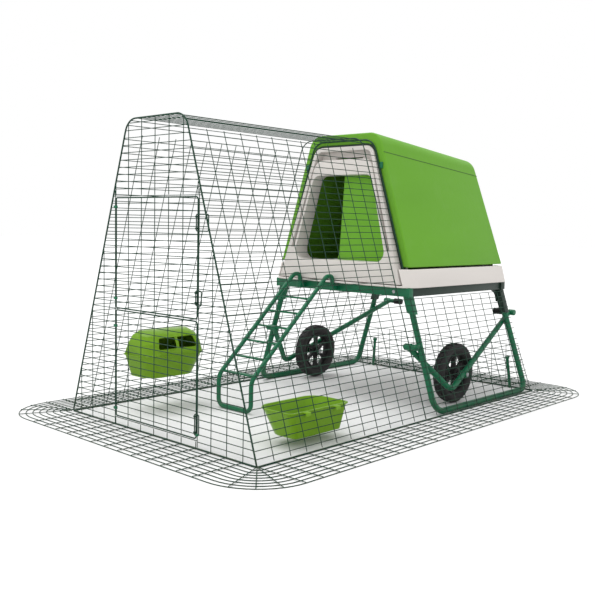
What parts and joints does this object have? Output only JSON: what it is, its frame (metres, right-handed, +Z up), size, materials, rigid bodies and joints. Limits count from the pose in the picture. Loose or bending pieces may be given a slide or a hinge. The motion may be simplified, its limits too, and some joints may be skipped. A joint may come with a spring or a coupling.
{
  "type": "chicken coop",
  "caption": "Raised hen house with a rounded plastic cover and sliding pop door, above and behind a walk-in wire-mesh run with split doors, lifting wheel arms, ladder, skirt and feeders.",
  "frame": {"origin": "centre of the anti-dig skirt's outline, on the ground", "axes": "+Z up, -Y towards the run's doors, +Y towards the house's back wall, +X to the right seen from the run's doors' far side"},
  "size_m": [1.449, 2.192, 1.138],
  "materials": {
    "mesh_wire": "satin",
    "stand_tube": "satin",
    "beam": "satin",
    "fixings": "satin",
    "cover": "satin, double-walled",
    "tub": "matt",
    "panel": "matt",
    "inner_plastic": "matt",
    "leaf": "satin",
    "seal": "matt",
    "clip": "satin",
    "feeder": "satin",
    "grip": "matt",
    "wheel_rim": "satin",
    "tyre": "matt",
    "rung": "satin"
  },
  "bodies": {
    "coop": {"front_arch": "mesh_wire", "house_arch": "mesh_wire", "front_mesh": "mesh_wire", "run_side_left": "mesh_wire", "run_side_right": "mesh_wire", "run_roof": "mesh_wire", "door_hinge_clips": "mesh_wire", "base_ring": "mesh_wire", "skirt": "mesh_wire", "skirt_corners": "mesh_wire", "house_side_mesh_left": "mesh_wire", "house_side_mesh_right": "mesh_wire", "rear_mesh": "mesh_wire", "rear_pins": "mesh_wire", "stand_loop_left": "stand_tube", "stand_loop_right": "stand_tube", "side_rail_left": "beam", "side_rail_right": "beam", "front_beam": "beam", "rear_beam": "beam", "beam_bolts": "fixings", "arm_bracket_left": "stand_tube", "arm_bracket_right": "stand_tube", "base_tub": "tub", "cover": "cover", "cover_clips": "clip", "front_panel": "panel", "front_seal": "seal", "fixed_leaf": "leaf", "door_guides": "inner_plastic", "roosting_bars": "inner_plastic", "nest_divider": "inner_plastic", "ladder_sockets": "beam"},
    "upper_door": {"run_door_upper": "mesh_wire"},
    "lower_door": {"run_door_lower": "mesh_wire"},
    "upper_latch": {"latch_upper": "mesh_wire"},
    "middle_latch": {"latch_middle": "mesh_wire"},
    "lower_latch": {"latch_lower": "mesh_wire"},
    "pop_door": {"sliding_leaf": "leaf"},
    "rear_drawer": {"rear_panel": "panel", "rear_seal": "seal", "droppings_tray": "inner_plastic"},
    "turn_handle": {"rear_handle": "panel"},
    "arm_right": {"wheel_arm_right": "stand_tube", "axle_right": "fixings", "arm_grip_right": "grip"},
    "arm_left": {"wheel_arm_left": "stand_tube", "axle_left": "fixings", "arm_grip_left": "grip"},
    "wheel_right": {"tyre_right": "tyre", "wheel_rim_right": "wheel_rim"},
    "wheel_left": {"tyre_left": "tyre", "wheel_rim_left": "wheel_rim"},
    "ladder": {"ladder_rails": "stand_tube", "ladder_rungs": "rung"},
    "feed_tray_body": {"feed_tray": "feeder"},
    "feeder_bowl_body": {"feeder_bowl": "feeder"},
    "feeder_hood_body": {"feeder_hood": "feeder"}
  },
  "joints": [
    {"name": "upper_door_hinge", "type": "hinge", "parent": "coop", "child": "upper_door", "pos_m": [-0.2286, -0.8915, 0.63], "axis": [0, 0, -1], "range_deg": [0, 100]},
    {"name": "lower_door_hinge", "type": "hinge", "parent": "coop", "child": "lower_door", "pos_m": [-0.2286, -0.8915, 0.23], "axis": [0, 0, -1], "range_deg": [0, 100]},
    {"name": "upper_latch_hinge", "type": "hinge", "parent": "upper_door", "child": "upper_latch", "pos_m": [0.2286, -0.8985, 0.749], "axis": [0, 0, -1], "range_deg": [0, 90]},
    {"name": "middle_latch_hinge", "type": "hinge", "parent": "upper_door", "child": "middle_latch", "pos_m": [0.2286, -0.8985, 0.504], "axis": [0, 0, -1], "range_deg": [0, 90]},
    {"name": "lower_latch_hinge", "type": "hinge", "parent": "lower_door", "child": "lower_latch", "pos_m": [0.2286, -0.8985, 0.085], "axis": [0, 0, -1], "range_deg": [0, 90]},
    {"name": "pop_door_slide", "type": "slide", "parent": "coop", "child": "pop_door", "axis": [-1, 0, 0], "range_m": [0, 0.207]},
    {"name": "rear_drawer_slide", "type": "slide", "parent": "coop", "child": "rear_drawer", "axis": [0, 1, 0], "range_m": [0, 0.5]},
    {"name": "rear_handle_turn", "type": "hinge", "parent": "rear_drawer", "child": "turn_handle", "pos_m": [0, 0.82, 0.8], "axis": [0, 1, 0], "range_deg": [0, 90]},
    {"name": "arm_right_pivot", "type": "hinge", "parent": "coop", "child": "arm_right", "pos_m": [0.37, 0.0845, 0.267], "axis": [1, 0, 0], "range_deg": [-6, 0]},
    {"name": "arm_left_pivot", "type": "hinge", "parent": "coop", "child": "arm_left", "pos_m": [-0.37, 0.0845, 0.267], "axis": [1, 0, 0], "range_deg": [-6, 0]},
    {"name": "wheel_right_spin", "type": "hinge", "parent": "arm_right", "child": "wheel_right", "pos_m": [0.4, 0.3955, 0.129], "axis": [1, 0, 0], "continuous": true},
    {"name": "wheel_left_spin", "type": "hinge", "parent": "arm_left", "child": "wheel_left", "pos_m": [-0.4, 0.3955, 0.129], "axis": [1, 0, 0], "continuous": true},
    {"name": "ladder_lift", "type": "slide", "parent": "coop", "child": "ladder", "axis": [0, 0, 1], "range_m": [0, 0.06]},
    {"name": "feed_tray_unhook", "type": "slide", "parent": "coop", "child": "feed_tray_body", "axis": [-0.3095, 0, 0.9509], "range_m": [0, 0.011]},
    {"name": "feeder_bowl_unhook", "type": "slide", "parent": "coop", "child": "feeder_bowl_body", "axis": [0.3095, 0, 0.9509], "range_m": [0, 0.011]},
    {"name": "feeder_hood_lift", "type": "slide", "parent": "feeder_bowl_body", "child": "feeder_hood_body", "axis": [0.3095, 0, 0.9509], "range_m": [0, 0.1]}
  ]
}
